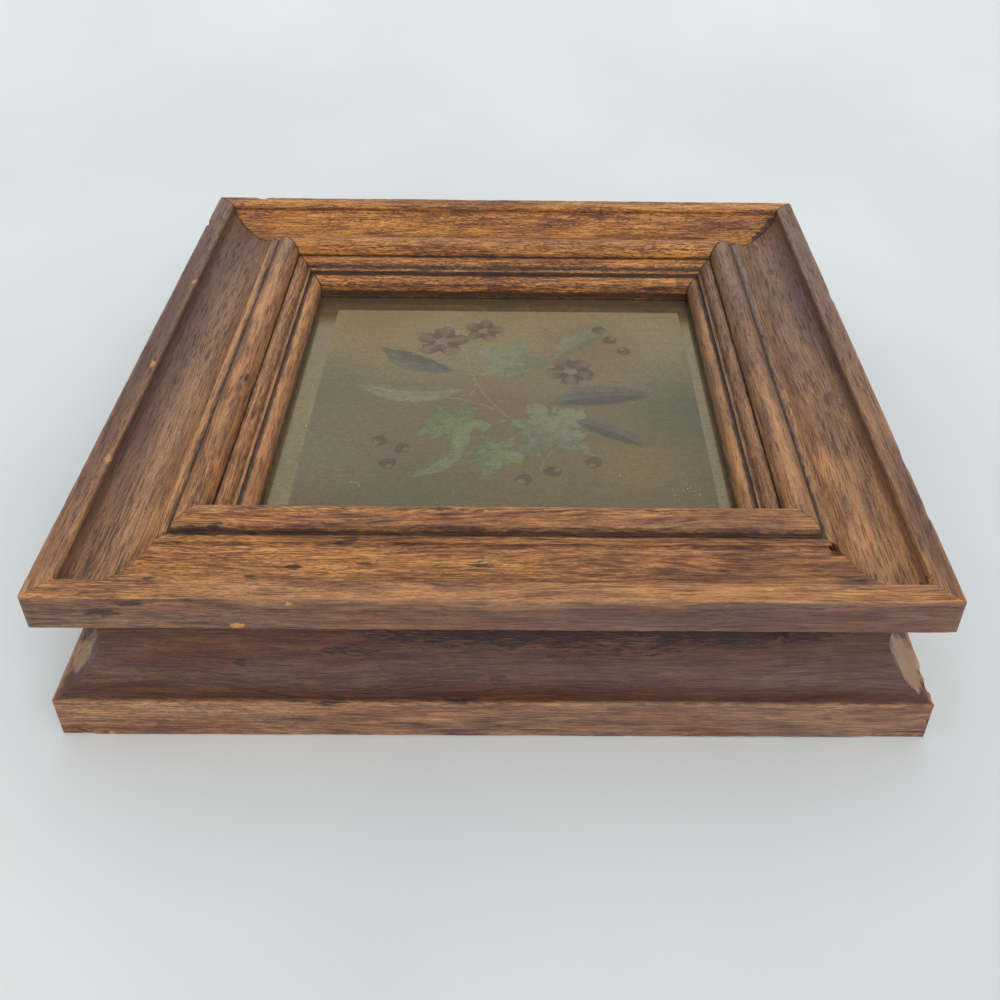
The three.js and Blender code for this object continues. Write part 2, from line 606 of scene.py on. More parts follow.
@dataclass
class Rail:
    """One mitred length of the moulding, worn at its edges."""

    node: str
    moulding: Moulding
    length: float
    reach: float
    quarter_turns: int
    # How dull each rail is, along it, in the hollow and on the ridge: partly the board's own colour, partly
    # painted sheen that makes rails running across the view golden.
    tone_and_sheen_ends: tuple[float, float]
    hollow_tone_and_sheen: float
    ridge_tone_and_sheen: float
    seed: float
    marks: tuple[Mark, ...] = ()
    joint_gap: float = 0.06
    spacing: float = 0.9
    corner_round: float = 0.3
    edge_wear: float = 0.34
    corner_radius: float = 2.0
    joint_dirt: float = 0.7
    dirt_and_shade_strength: float = 1.0
    joint_grime: tuple[float, float] = (0.9, 0.9)
    sharp_angle: float = math.radians(38)
    hollow_place: float = 13.0
    hollow_reach: float = 8.0
    ridge_start: float = 25.0
    ridge_blend: float = 4.0
    base_side: float = 0.5
    rim_side: float = 0.7
    hollow_side: float = 1.0

    def build(self) -> bpy.types.Object:
        """Extrudes the section, rounds its corners, cuts the mitres and wears it.

        Returns:
            The finished rail, in place.
        """
        shape = bmesh.new()
        half = self.length / 2
        corners = [shape.verts.new((-half, point.x, point.y)) for point in self.moulding.outline()]
        end = shape.faces.new(corners)
        pushed = bmesh.ops.extrude_face_region(shape, geom=[end])["geom"]
        far = [item for item in pushed if isinstance(item, bmesh.types.BMVert)]
        bmesh.ops.translate(shape, vec=(self.length, 0, 0), verts=far)
        bmesh.ops.recalc_face_normals(shape, faces=shape.faces)
        self._round_corners(shape)
        self._divide(shape)
        self._mitre(shape)
        self._dress(shape)
        place = Matrix.Rotation(math.pi / 2 * self.quarter_turns, 4, "Z")
        place = Matrix.Scale(MM, 4) @ place @ Matrix.Translation((0, -self.reach, 0))
        bmesh.ops.transform(shape, matrix=place, verts=shape.verts)
        return as_piece(shape, self.node + "_wood")

    def _lengthways(self, shape: bmesh.types.BMesh) -> list[bmesh.types.BMEdge]:
        """The edges that run the whole length of the rail."""
        return [e for e in shape.edges if abs(e.verts[0].co.x - e.verts[1].co.x) > self.length / 2]

    def _round_corners(self, shape: bmesh.types.BMesh) -> None:
        """Softens the sharp corners of the moulding.

        Args:
            shape: The rail with square ends.
        """
        sharp = [e for e in self._lengthways(shape) if e.calc_face_angle(0) > self.sharp_angle]
        bmesh.ops.bevel(
            shape, geom=sharp, offset=self.corner_round, segments=2, profile=0.5, affect="EDGES",
            material=-1, clamp_overlap=True,
        )

    def _divide(self, shape: bmesh.types.BMesh) -> None:
        """Cuts the long faces into short ones, so that wear can shape them."""
        cuts = round(self.length / self.spacing)
        bmesh.ops.subdivide_edges(shape, edges=self._lengthways(shape), cuts=cuts)

    def _mitre(self, shape: bmesh.types.BMesh) -> None:
        """Draws the ends in, so that they lie on the mitres.

        Args:
            shape: The rail with square ends.
        """
        half = self.length / 2
        for vert in shape.verts:
            vert.co.x *= (half - vert.co.y - self.joint_gap / math.sqrt(2)) / half

    def _dress(self, shape: bmesh.types.BMesh) -> None:
        """Wears and marks the wood, and stores what its finish reads at each point.

        Args:
            shape: The mitred rail.
        """
        layers = shape.verts.layers
        grain = layers.float_vector.new("grain")
        dirt_and_shade, crest, tone, side = (layers.float.new(name) for name in ("dirt_and_shade", "crest", "tone", "side"))
        coloured = {kind: layers.float.new(kind.value) for kind in MarkKind if kind is not MarkKind.DENT}
        shape.normal_update()
        for edge in shape.edges:
            edge.smooth = edge.calc_face_angle(0) < self.sharp_angle
        for face in shape.faces:
            face.smooth = True
        for vert in shape.verts:
            along, inset, height = vert.co
            point = Vector((inset, height))
            vert[grain] = (along + self.seed, inset + self.seed * 3, height)
            joint = (self.length / 2 - inset - abs(along)) / self.joint_dirt
            dirt = self.joint_grime[along > 0] * math.exp(-joint * joint)
            # Darkening at the mitres is dirt; in the grooves it is dirt and painted shade.
            groove_dirt_and_shade = self.moulding.nearness(point, self.moulding.dirt_and_shade_spots) * self.dirt_and_shade_strength
            vert[dirt_and_shade] = max(dirt, groove_dirt_and_shade)
            vert[crest] = self.moulding.nearness(point, self.moulding.crests)
            vert[tone] = self._tone_and_sheen(along, inset)
            vert[side] = self._side(inset, height)
            cut = self._wear(along, point) * vert[crest]
            for mark in self.marks:
                nearness = mark.strength(along, inset, height)
                if nearness <= 0:
                    continue
                cut += mark.depth * nearness
                power = mark.power * nearness
                if mark.kind in coloured:
                    layer = coloured[mark.kind]
                    vert[layer] = max(vert[layer], power)
            if self._shown(inset, height):
                inwards = Vector((0, -vert.normal.y, -vert.normal.z))
                if inwards.length > 0.1:
                    vert.co += inwards.normalized() * cut
                self._round_end(vert)

    def _round_end(self, vert: bmesh.types.BMVert) -> None:
        """Rounds the frame's upright corners, where two rails' outer faces meet.

        Args:
            vert: A vertex of the rail, which is moved.
        """
        proud = self.moulding.base_proud if vert.co.z < self.moulding.base_band + 0.1 else 0.0
        radius = self.corner_radius
        from_end = radius - (self.length / 2 + proud - abs(vert.co.x))
        from_side = radius - (vert.co.y + proud)
        distance = math.hypot(from_end, from_side)
        if from_end > 0 and from_side > 0 and distance > radius:
            shrink = 1 - radius / distance
            vert.co.x -= math.copysign(from_end * shrink, vert.co.x)
            vert.co.y += from_side * shrink

    def _tone_and_sheen(self, along: float, inset: float) -> float:
        """How dull the wood is at a point: partly the board's own colour, partly painted sheen that makes
        rails running across the view golden.

        Args:
            along: Millimetres along the rail from its middle.
            inset: Millimetres in from the outer edge.

        Returns:
            0 or less for golden wood, 1 for dull brown.
        """
        share = along / self.length + 0.5
        ends = self.tone_and_sheen_ends[0] * (1 - share) + self.tone_and_sheen_ends[1] * share
        hollow = math.exp(-(((inset - self.hollow_place) / self.hollow_reach) ** 2)) * self.hollow_tone_and_sheen
        on_ridge = min(1.0, max(0.0, (inset - self.ridge_start) / self.ridge_blend))
        return ends + hollow + on_ridge * self.ridge_tone_and_sheen

    def _side(self, inset: float, height: float) -> float:
        """How far a point belongs to the outer side, which is duller and redder than the front.

        Args:
            inset: Millimetres in from the outer edge.
            height: Millimetres above the back.

        Returns:
            0 on the front, and more on the base band, the rim band and in the hollow.
        """
        hollow_head = self.moulding.depth - self.moulding.rim_band
        if height < self.moulding.base_band:
            return self.base_side
        if height < hollow_head + 0.1:
            return self.hollow_side if inset < self.moulding.side_hollow + 1 else 0.0
        return self.rim_side if inset < 0.3 else 0.0

    def _shown(self, inset: float, height: float) -> bool:
        """False on the back and in the rebate, which stay flat."""
        lip = self.moulding.depth - self.moulding.front_drop
        return height > 0.05 and not (inset > self.moulding.side_hollow + 1 and height < lip)

    def _wear(self, along: float, point: Vector) -> float:
        """How much of a crest has worn away at a point.

        Args:
            along: Millimetres along the rail from its middle.
            point: Inset and height.

        Returns:
            Millimetres of wood.
        """
        slow = noise.noise(Vector((along * 0.045 + self.seed, point.x * 0.3, point.y * 0.3)))
        quick = noise.noise(Vector((along * 0.33, point.x * 0.8 + self.seed, point.y * 0.8)))
        return self.edge_wear * max(0.0, 0.25 + slow + 0.7 * quick)


def as_piece(shape: bmesh.types.BMesh, name: str) -> bpy.types.Object:
    """Turns a finished bmesh into an object at the origin.

    Args:
        shape: The bmesh, which is freed.
        name: The object's name.

    Returns:
        The object.
    """
    mesh = bpy.data.meshes.new(name)
    shape.to_mesh(mesh)
    shape.free()
    piece = bpy.data.objects.new(name, mesh)
    bpy.context.scene.collection.objects.link(piece)
    return piece


def dress(piece: bpy.types.Object, material: bpy.types.Material) -> None:
    """Gives a piece one material."""
    piece.data.materials.clear()
    piece.data.materials.append(material)


@dataclass(frozen=True)
class Grain:
    """The wood's figure, and what a rail has stored at each point.

    Args:
        place: Along, across and up the rail, in millimetres.
        bent: The same, bent by a slow wave.
        broad: Broad bands.
        mottle: Clouds between the bands.
        streak: Streaks along the grain.
        fibre: The finest lines.
        speckle: Small specks.
        crest: How far a point stands out and wears.
        side: How far it belongs to the outer side.
        tone: How dull the wood is, partly the board's own colour and partly painted sheen.
    """

    place: Wire
    bent: Wire
    broad: Wire
    mottle: Wire
    streak: Wire
    fibre: Wire
    speckle: Wire
    crest: Wire
    side: Wire
    tone: Wire

    @classmethod
    def read(cls, graph: Graph) -> "Grain":
        """Adds the noises and attributes to a graph.

        Args:
            graph: The wood's graph.

        Returns:
            The grain.
        """
        place = graph.attribute("grain", vector=True)
        wave = graph.noise(place, (0.012, 0.05, 0.05), 2)
        bent = place + graph.node("ShaderNodeCombineXYZ", {}, {1: (wave - 0.5) * 8, 2: (wave - 0.5) * 6})
        return cls(
            place=place,
            bent=bent,
            broad=graph.noise(bent, (0.007, 0.06, 0.06), 2),
            mottle=graph.noise(bent, (0.045, 0.22, 0.22), 3, 0.55),
            streak=graph.noise(bent, (0.05, 1.1, 1.1), 3, 0.7),
            fibre=graph.noise(bent, (0.16, 3.6, 3.6), 2, 0.6),
            speckle=graph.noise(place, (0.3, 0.9, 0.9), 3, 0.6),
            crest=graph.attribute("crest"),
            side=graph.attribute("side"),
            tone=graph.attribute("tone"),
        )


@dataclass(frozen=True)
class WoodFinish:
    """Open-grained hardwood, stained and waxed, with dirt and painted shade in its grooves, worn edges,
    painted sheen in its golden wood, and painted shade and painted reflection at some marks.

    Each range of colours runs from the darkest wood to the lightest.
    """

    # The golden range is partly the wood's own colour and partly painted sheen of the grain.
    golden_wood_and_sheen: tuple[tuple[float, Colour], ...] = (
        (0.0, shade(84, 46, 34)), (0.3, shade(136, 83, 53)), (0.5, shade(178, 119, 69)),
        (0.7, shade(212, 146, 80)), (1.0, shade(236, 178, 106)),
    )
    dull: tuple[tuple[float, Colour], ...] = (
        (0.0, shade(68, 46, 42)), (0.3, shade(108, 78, 67)), (0.5, shade(138, 105, 86)),
        (0.7, shade(162, 124, 96)), (1.0, shade(192, 150, 110)),
    )
    # Golden tint over the golden wood: partly its colour, partly painted sheen.
    amber_and_sheen: Colour = (1.0, 0.9, 0.62)
    russet: Colour = (1.0, 0.74, 0.62)
    deep: Colour = shade(66, 32, 26)
    # Painted shade, laid smoothly where marked.
    painted_shade_colour: Colour = shade(82, 56, 54)
    pore: Colour = shade(58, 36, 30)
    # Dark colour of stains and joints, also laid as painted shade in the grooves.
    grime_and_shade: Colour = shade(42, 28, 28)
    smear: Colour = shade(74, 56, 50)
    worn: Colour = shade(216, 156, 98)
    fresh: Colour = shade(232, 164, 84)
    # Painted reflection of the sky on the lower side hollow.
    painted_pale_reflection: Colour = shade(200, 162, 128)
    roughness: float = 0.48

    def make(self) -> bpy.types.Material:
        """Builds the material of the rails.

        Returns:
            The material.
        """
        graph = Graph("frame_wood")
        grain = Grain.read(graph)
        pores = self._pores(graph, grain)
        smudge = graph.noise(grain.place, (0.085, 0.3, 0.3), 4, 0.65)
        body = graph.mix(pores, self._stained(graph, grain), self.pore)
        body = self._worn_edges(graph, grain, pores, body)
        body = graph.mix(smudge.step(0.6, 0.74) * 0.55, body, self.smear)
        # Dirt at the joints and in the grooves, with painted shade in the grooves.
        dirt_and_shade_share = (graph.attribute("dirt_and_shade") + (grain.speckle - 0.5) * 0.9).step(0.3, 0.95) * 0.88
        body = graph.mix(dirt_and_shade_share, body, self.grime_and_shade)
        height = grain.fibre * 0.3 - pores * 0.8 + grain.streak * 0.3
        return graph.finish(
            Base_Color=self._marked(graph, grain, body),
            Roughness=self.roughness + pores * 0.25 + (smudge - 0.5) * 0.25,
            Specular_IOR_Level=0.42,
            Coat_Weight=0.1,
            Coat_Roughness=0.3,
            Normal=graph.bump(height, 0.6, 0.00025),
        )

    def _light(self, graph: Graph, grain: Grain) -> Wire:
        """How light the bare wood is, which is what the two ranges of colours are read by.

        Args:
            graph: The wood's graph.
            grain: Its figure.

        Returns:
            From 0, the darkest, to 1.
        """
        calm = 1.4 - grain.tone.step(-0.4, 1.0) * 0.75
        figure = (grain.broad - 0.5) * 0.6 + (grain.mottle - 0.5) * 0.6
        figure = figure + (grain.streak - 0.5) * 1.05 + (grain.fibre - 0.5) * 0.75
        stipple = graph.noise(grain.place, (1.0, 2.2, 2.2), 2, 0.6)
        light = 0.52 + figure * calm + grain.tone.step(0.0, -0.5) * 0.05
        light = light + (stipple - 0.5) * grain.tone.step(0.0, 0.6) * 0.6
        return light + (grain.crest * (grain.speckle - 0.3)).step(0.0, 0.4) * 0.08

    def _stained(self, graph: Graph, grain: Grain) -> Wire:
        """The stained wood, from golden to dull brown, redder and deeper on the outer side.

        Args:
            graph: The wood's graph.
            grain: Its figure.

        Returns:
            The colour.
        """
        light = self._light(graph, grain)
        golden_wood_and_sheen = graph.node("ShaderNodeValToRGB", {"stops": self.golden_wood_and_sheen}, {0: light})
        dull = graph.node("ShaderNodeValToRGB", {"stops": self.dull}, {0: light})
        # Share of dull wood: from each rail's own colour and painted sheen, and from the outer side.
        dull_share = grain.tone + grain.side * 1.5 + (grain.broad - 0.5) * 0.5 + (0.5 - grain.mottle) * 0.4
        body = graph.mix(dull_share.step(0.0, 1.0), golden_wood_and_sheen, dull)
        # Golden tint where the wood is golden, partly painted sheen.
        body = graph.mix((0.0 - grain.tone).step(0.0, 0.5), body, self.amber_and_sheen, "MULTIPLY")
        ruddy = graph.noise(grain.place, (0.022, 0.12, 0.12), 3)
        reddened = grain.side.step(0.0, 0.8) * (0.2 + ruddy.step(0.42, 0.6) * 0.8)
        body = graph.mix(reddened, body, self.russet, "MULTIPLY")
        body = graph.mix(grain.side.step(0.5, 1.0) * 0.66, body, self.deep)
        # Painted shade: smooth darkening laid where a rail is marked, such as the steep outer wall of the
        # hollow.
        painted_shade = graph.patch("painted_shade", (grain.mottle - 0.5) * 0.8, (0.0, 1.5), 0.85)
        return graph.mix(painted_shade, body, self.painted_shade_colour)

    def _pores(self, graph: Graph, grain: Grain) -> Wire:
        """Open pores: long ones everywhere, and short ones mostly in the golden wood.

        Args:
            graph: The wood's graph.
            grain: Its figure.

        Returns:
            How open the grain is.
        """
        cluster = graph.noise(grain.bent, (0.03, 0.16, 0.16), 2, 0.5) * 0.3
        long_pores = graph.noise(grain.bent, (0.11, 1.9, 1.9), 2, 0.5)
        short_pores = graph.noise(grain.bent, (0.5, 2.9, 2.9), 1, 0.5)
        golden = 0.12 + grain.tone.step(0.5, -0.35) * 0.88
        pores = (long_pores + cluster).step(0.67, 0.8) * 0.62
        pores = pores.most((short_pores + cluster).step(0.69, 0.77) * golden * 0.74)
        return pores * (1 - grain.side * 0.45)

    def _worn_edges(self, graph: Graph, grain: Grain, pores: Wire, body: Wire) -> Wire:
        """Shows lighter wood on the crests, and where a rail is marked as worn.

        Args:
            graph: The wood's graph.
            grain: Its figure.
            pores: Where the grain is open, which stays dark.
            body: The colour so far.

        Returns:
            The colour with its wear.
        """
        rub = (grain.crest * 0.8 + (grain.speckle - 0.5) * 1.1).step(0.4, 0.9) * 0.5
        body = graph.mix(rub, body, self.worn)
        gold = graph.patch("worn", (grain.mottle - 0.5) * 1.2, (0.0, 0.8), 0.75)
        return graph.mix(gold * (1 - pores), body, self.worn)

    def _marked(self, graph: Graph, grain: Grain, body: Wire) -> Wire:
        """Lays the painted pale reflections, the stains and the chips over the wood.

        Args:
            graph: The wood's graph.
            grain: Its figure.
            body: The colour so far.

        Returns:
            The colour with its marks.
        """
        # Painted reflection: pale patches on the lower side hollow, where it faces the sky.
        pale = graph.patch("painted_pale_reflection", (grain.speckle + grain.streak - 1.0) * 1.4, (0.1, 0.7), 0.6)
        body = graph.mix(pale, body, self.painted_pale_reflection)
        ragged = graph.noise(grain.bent, (0.22, 1.4, 1.4), 3, 0.65)
        stain = graph.patch("stain", (ragged - 0.5) * 3.4, (0.3, 0.95), 0.86)
        body = graph.mix(stain, body, self.grime_and_shade)
        fleck = graph.noise(grain.place, (0.8, 1.7, 1.7), 2)
        chip = graph.patch("chip", (fleck - 0.5) * 2.0, (0.25, 0.85), 0.7)
        return graph.mix(chip, body, self.fresh)


@dataclass(frozen=True)
class BoardFinish:
    """Plain brown fibre board."""

    light: Colour = shade(150, 112, 78)
    dark: Colour = shade(104, 72, 48)

    def make(self) -> bpy.types.Material:
        """Builds the material of the backing board.

        Returns:
            The material.
        """
        graph = Graph("fibre_board")
        place = graph.place()
        flecks = graph.noise(place, (1.3, 1.3, 1.3), 4, 0.65)
        cloud = graph.noise(place, (0.03, 0.03, 0.03), 2)
        colour = graph.mix(flecks.step(0.3, 0.7), self.light, self.dark)
        colour = graph.mix(cloud.step(0.4, 0.8) * 0.4, colour, self.dark)
        return graph.finish(Base_Color=colour, Roughness=0.9, Normal=graph.bump(flecks, 0.4, 0.0002))


@dataclass(frozen=True)
class Motif:
    """One printed shape: a place on the plate in millimetres, a turn and a size.

    Args:
        x: Across the plate.
        y: Towards the picture's head.
        turn: Degrees from the plate's width.
        size: Half its length.
        ink: Its darker colour.
        tint: Its lighter colour.
        strength: How far it hides the ground.
    """

    x: float
    y: float
    turn: float
    size: float
    ink: Colour
    tint: Colour
    strength: float = 0.8

    def lay(self, graph: Graph, place: Wire, rough: Wire, under: Wire) -> Wire:
        """Prints the shape over a colour.

        Args:
            graph: The plate's graph.
            place: Place on the plate.
            rough: Noise that makes outlines and shading uneven.
            under: The colour so far.

        Returns:
            The colour with the shape on it.
        """
        unit = 1 / self.size
        sway = graph.node("ShaderNodeCombineXYZ", {}, {0: (rough - 0.5) * 2.5, 1: (0.5 - rough) * 2.5})
        local = graph.mapped(place + sway, (self.x, self.y, 0), self.turn, (unit, unit, 0.001))
        x, y = graph.axes(local)
        mask, light = self.shape(graph, x, y, (rough - 0.5) * 0.7)
        colour = graph.mix((light + (rough - 0.5) * 1.2).step(0.1, 0.9), self.ink, self.tint)
        return graph.mix(mask * self.strength, under, colour)

    def shape(self, graph: Graph, x: Wire, y: Wire, wobble: Wire) -> tuple[Wire, Wire]:
        """The shape itself, in its own units.

        Args:
            graph: The plate's graph.
            x: Along the shape, from -1 to 1.
            y: Across it.
            wobble: Small unevenness.

        Returns:
            Where it is printed, and how light it is there.
        """
        raise NotImplementedError

    def polar(self, graph: Graph, x: Wire, y: Wire) -> tuple[Wire, Wire]:
        """Distance from the middle, and angle."""
        angle = graph.node("ShaderNodeMath", {"operation": "ARCTAN2"}, {0: y, 1: x})
        return (x * x + y * y) ** 0.5, angle


class LobedLeaf(Motif):
    """A leaf of five lobes with pale veins."""

    def shape(self, graph: Graph, x: Wire, y: Wire, wobble: Wire) -> tuple[Wire, Wire]:
        """See Motif."""
        radius, angle = self.polar(graph, x, y)
        rim = 0.66 + (angle * 5).done("COSINE") * 0.16 + angle.done("COSINE") * 0.14
        rim = rim + (angle * 17).done("COSINE") * 0.035
        vein = ((angle * 2.5).done("SINE").done("ABSOLUTE") * radius).step(0.06, 0.01)
        light = 0.5 + y * 0.5 + vein * 0.22
        return (rim + wobble - radius).step(0.0, 0.11), light


class Blade(Motif):
    """A long, pointed leaf with a midrib."""

    def shape(self, graph: Graph, x: Wire, y: Wire, wobble: Wire) -> tuple[Wire, Wire]:
        """See Motif."""
        bent = y + x * x * 0.16
        edge = (1 - x * x) * 0.34 - bent.done("ABSOLUTE")
        rib = bent.done("ABSOLUTE").step(0.05, 0.01)
        light = 0.45 + bent * 1.6 + rib * 0.25
        return (edge + wobble * 0.25).step(0.0, 0.09), light


class Blossom(Motif):
    """A flower of five round petals with a pale eye."""

    def shape(self, graph: Graph, x: Wire, y: Wire, wobble: Wire) -> tuple[Wire, Wire]:
        """See Motif."""
        radius, angle = self.polar(graph, x, y)
        petal = (angle * 2.5).done("COSINE").done("ABSOLUTE")
        rim = 0.6 + petal * 0.36 + wobble * 0.6
        light = petal * 0.5 + radius * 0.25 - 0.1 + radius.step(0.24, 0.14) * 1.2
        return (rim - radius).step(0.0, 0.08), light


class Berry(Motif):
    """A round berry with a light spot."""

    def shape(self, graph: Graph, x: Wire, y: Wire, wobble: Wire) -> tuple[Wire, Wire]:
        """See Motif."""
        radius, _ = self.polar(graph, x, y)
        spot, _ = self.polar(graph, x + 0.3, y - 0.35)
        return (0.9 + wobble - radius).step(0.0, 0.12), 0.1 + spot.step(0.5, 0.1) * 0.9


class Stalk(Motif):
    """A curved stalk: part of a ring."""

    def shape(self, graph: Graph, x: Wire, y: Wire, wobble: Wire) -> tuple[Wire, Wire]:
        """See Motif."""
        radius, angle = self.polar(graph, x, y)
        thick = 0.55 / self.size
        ring = (thick - (radius - 1).done("ABSOLUTE")).step(0.0, thick * 0.8)
        ends = (0.75 + wobble - angle.done("ABSOLUTE")).step(0.0, 0.08)
        return ring * ends, 0.6 + wobble


@dataclass(frozen=True)
class Cloud:
    """A soft patch of another colour in the plate's ground.

    Args:
        x: Across the plate, in millimetres.
        y: Towards the picture's head.
        reach: How far it spreads.
        colour: Its colour.
        strength: How strong it is in the middle.
    """

    x: float
    y: float
    reach: float
    colour: Colour
    strength: float

    def lay(self, graph: Graph, place: Wire, rough: Wire, under: Wire) -> Wire:
        """Lays the patch over a colour. See Motif.lay."""
        local = graph.mapped(place, (self.x, self.y, 0), 0, (1 / self.reach, 1 / self.reach, 0.001))
        spread = graph.length(local)
        return graph.mix((spread + rough * 0.5).step(1.25, 0.25) * self.strength, under, self.colour)


@dataclass(frozen=True)
class PlateFinish:
    """Thin brass with a flat print over most of it and a bare, tarnished margin; the print is painted lighter
    towards its head, a painted reflection of the pale surround.
    """

    ground: Colour = shade(128, 114, 86)
    # Painted reflection: the ground's colour at its head.
    painted_reflection_head: Colour = shade(164, 148, 114)
    ground_red: Colour = shade(134, 104, 80)
    ground_green: Colour = shade(98, 108, 84)
    ground_pale: Colour = shade(146, 136, 116)
    ground_gold: Colour = shade(158, 128, 78)
    shadow: Colour = shade(64, 56, 42)
    bare: Colour = shade(162, 147, 118)
    painted_reflection_start: float = -25.0
    painted_reflection_end: float = 62.0
    print_left: float = -67.9
    print_right: float = 71.4
    print_foot: float = -62.0
    print_head: float = 59.6
    leaf: Colour = shade(106, 122, 82)
    leaf_light: Colour = shade(142, 156, 114)
    sage: Colour = shade(116, 122, 98)
    sage_light: Colour = shade(148, 152, 124)
    plum: Colour = shade(86, 66, 60)
    plum_light: Colour = shade(150, 130, 114)
    slate: Colour = shade(88, 84, 78)
    slate_light: Colour = shade(120, 115, 104)
    straw: Colour = shade(124, 119, 94)
    straw_light: Colour = shade(160, 154, 126)

    def clouds(self) -> list[Cloud]:
        """Lists the soft patches of the ground.

        Returns:
            The patches, lowest first.
        """
        return [
            Cloud(-50, 48, 34, self.ground_gold, 0.55),
            Cloud(4, 52, 30, self.ground_gold, 0.3),
            Cloud(34, 34, 30, self.ground_red, 0.6),
            Cloud(46, -40, 24, self.ground_gold, 0.35),
            Cloud(-6, -8, 34, self.ground_red, 0.35),
            Cloud(66, -4, 34, self.ground_green, 0.6),
            Cloud(-62, 8, 28, self.ground_green, 0.35),
            Cloud(-72, -30, 36, self.ground_pale, 0.5),
            Cloud(-30, -58, 30, self.ground_green, 0.3),
        ]

    def motifs(self) -> list[Motif]:
        """Lists the shapes of the printed spray.

        Returns:
            The shapes, lowest first.
        """
        leaf = (self.leaf, self.leaf_light)
        sage = (self.sage, self.sage_light)
        plum = (self.plum, self.plum_light)
        slate = (self.slate, self.slate_light)
        straw = (self.straw, self.straw_light)
        stalks = [
            Stalk(58, 34, 206, 72, *straw, 0.6), Stalk(-26, -40, 52, 40, *straw, 0.5),
            Stalk(0, 44, 244, 30, *straw, 0.5), Stalk(38, -44, 128, 24, *straw, 0.5),
            Stalk(-30, 8, 330, 20, *straw, 0.45),
        ]
        blades = [
            Blade(36, 2, 8, 21, *slate, 0.8), Blade(-34, 3, 176, 21, *straw, 0.7),
            Blade(29, 37, 42, 16, *sage, 0.65), Blade(-34, 22, 152, 18, *slate, 0.75),
            Blade(-19, -36, 232, 14, *sage, 0.6), Blade(39, -19, -30, 16, *slate, 0.75),
        ]
        leaves = [
            LobedLeaf(15, -17, -40, 21, *sage, 0.75), LobedLeaf(-15, -15, 205, 17, *leaf, 0.7),
            LobedLeaf(3, 22, 70, 18, *sage, 0.7), LobedLeaf(-2, -31, 262, 14, *leaf, 0.65),
        ]
        blossoms = [
            Blossom(-24, 37, 12, 12, *plum, 0.7), Blossom(26, 17, 48, 11, *plum, 0.7),
            Blossom(-8, 45, 80, 9, *plum, 0.7),
        ]
        head_spots = ((42, 39), (47, 31), (38, 46))
        foot_spots = ((8, -46), (18, -42), (32, -37), (-34, -30), (-42, -26), (-38, -38))
        berries = [Berry(x, y, 15 * x, 3.3, *plum, 0.55) for x, y in head_spots + foot_spots]
        return stalks + blades + leaves + blossoms + berries

    def make(self) -> bpy.types.Material:
        """Builds the material of the plate.

        Returns:
            The material.
        """
        graph = Graph("printed_brass")
        place = graph.place()
        x, y = graph.axes(place)
        inside = (x - self.print_left).least(self.print_right - x)
        inside = inside.least(y - self.print_foot).least(self.print_head - y)
        printed = inside.step(-0.25, 0.25)
        weave = graph.noise(place, (0.9, 2.6, 1.0), 4, 0.7)
        brushed = graph.noise(place, (0.05, 3.0, 1.0), 2, 0.5)
        rough = graph.noise(place, (0.25, 0.25, 0.25), 3, 0.6)
        # Painted reflection: the ground grows lighter towards the plate's head, where its gloss would mirror
        # the pale surround.
        colour = graph.mix(y.step(self.painted_reflection_start, self.painted_reflection_end), self.ground, self.painted_reflection_head)
        for shape in [*self.clouds(), *self.motifs()]:
            colour = shape.lay(graph, place, rough, colour)
        colour = graph.mix(printed, self.bare, colour)
        colour = graph.mix(weave.step(0.38, 0.68) * 0.4, colour, self.shadow)
        colour = graph.mix(brushed.step(0.35, 0.75) * 0.12, colour, self.shadow)
        return graph.finish(
            Base_Color=colour,
            Roughness=0.16 + printed * 0.3,
            Metallic=0.75 - printed * 0.6,
            Specular_IOR_Level=0.5,
            Normal=graph.bump(brushed, 0.12, 0.00005),
        )


@dataclass(frozen=True)
class DustFinish:
    """Pale dust and lint."""

    pale: Colour = shade(216, 212, 196)
    dull: Colour = shade(150, 142, 120)

    def make(self) -> bpy.types.Material:
        """Builds the material of the dust.

        Returns:
            The material.
        """
        graph = Graph("pale_dust")
        patchy = graph.noise(graph.place(), (3, 3, 3), 2)
        return graph.finish(Base_Color=graph.mix(patchy * 0.5, self.pale, self.dull), Roughness=0.9)


@dataclass(frozen=True)
class SheetFinish:
    """The pale sheet that the frame lies on, with soft mottled painted shade and a painted pool of light to
    its near left.
    """

    light: Colour = shade(237, 240, 240)
    # Painted shade of the mottling.
    soft: Colour = shade(231, 235, 236)
    # Painted pool of light.
    painted_light_pool: Colour = shade(250, 252, 250)
    painted_light_place: tuple[float, float, float] = (-240, -210, 0)
    painted_light_reach: float = 230.0

    def make(self) -> bpy.types.Material:
        """Builds the material of the floor.

        Returns:
            The material.
        """
        graph = Graph("pale_sheet")
        place = graph.place()
        # Painted shade: soft, broad mottling of the sheet.
        cloud = graph.noise(place, (0.006, 0.004, 0.006), 3)
        colour = graph.mix(cloud.step(0.35, 0.65), self.soft, self.light)
        # Painted pool of light to the near left of the frame.
        unit = 1 / self.painted_light_reach
        spread = graph.length(graph.mapped(place, self.painted_light_place, 0, (unit, unit, unit)))
        colour = graph.mix(spread.step(1.0, 0.1) * 0.8, colour, self.painted_light_pool)
        return graph.finish(Base_Color=colour, Roughness=0.8, Specular_IOR_Level=0.2)


STAIN, CHIP, DENT, PAINTED_REFLECTION, WORN, PAINTED_SHADE = MarkKind
